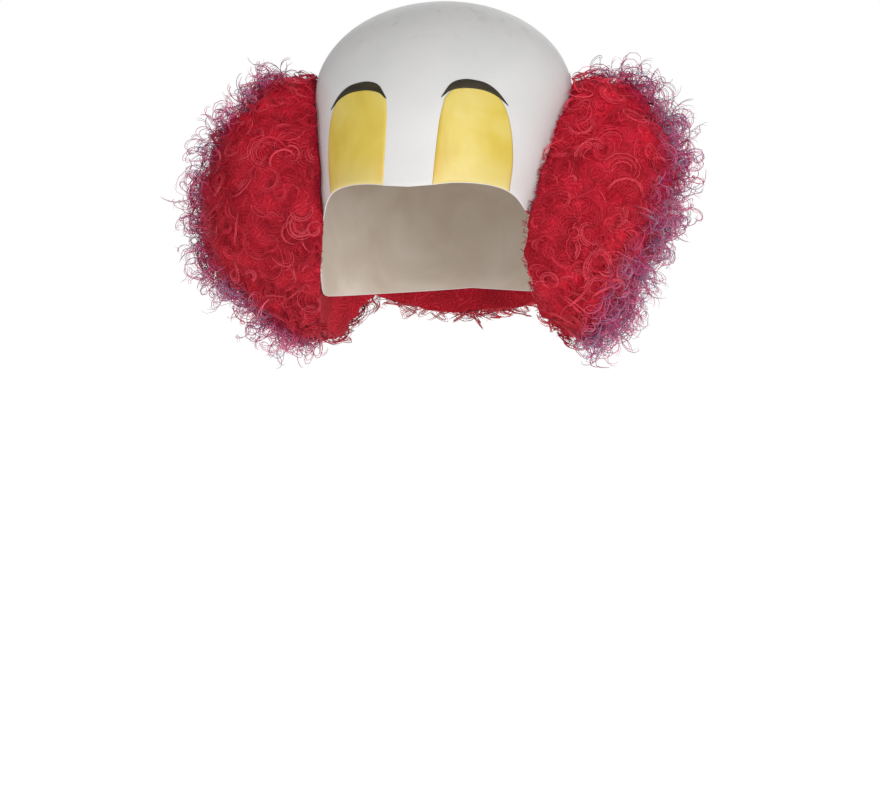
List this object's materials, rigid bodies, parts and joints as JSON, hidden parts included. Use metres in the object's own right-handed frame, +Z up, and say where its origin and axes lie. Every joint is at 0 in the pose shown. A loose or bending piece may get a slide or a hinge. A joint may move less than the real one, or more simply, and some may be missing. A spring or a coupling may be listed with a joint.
{
  "type": "clown mask, a latex bald half mask with curly hair",
  "caption": "Worn latex half mask: a bald cap down to the brows with painted lids and brows, and curly hair round its sides and nape.",
  "frame": {"origin": "inside of the crown, where the cap sits on top of the wearer's head", "axes": "+Z up, -Y out of the face, +X to the wearer's left"},
  "size_m": [0.3216, 0.2512, 0.2248],
  "materials": {
    "white_latex": "satin",
    "yellow_paint": "satin",
    "black_paint": "satin",
    "red_hair": "glossy synthetic curls"
  },
  "bodies": {
    "root": {"skull_cap": "white_latex", "eyelid_left": "yellow_paint", "eyelid_right": "yellow_paint", "eyebrow_left": "black_paint", "eyebrow_right": "black_paint", "hair_left": "red_hair", "hair_right": "red_hair", "hair_back": "red_hair"}
  },
  "joints": []
}
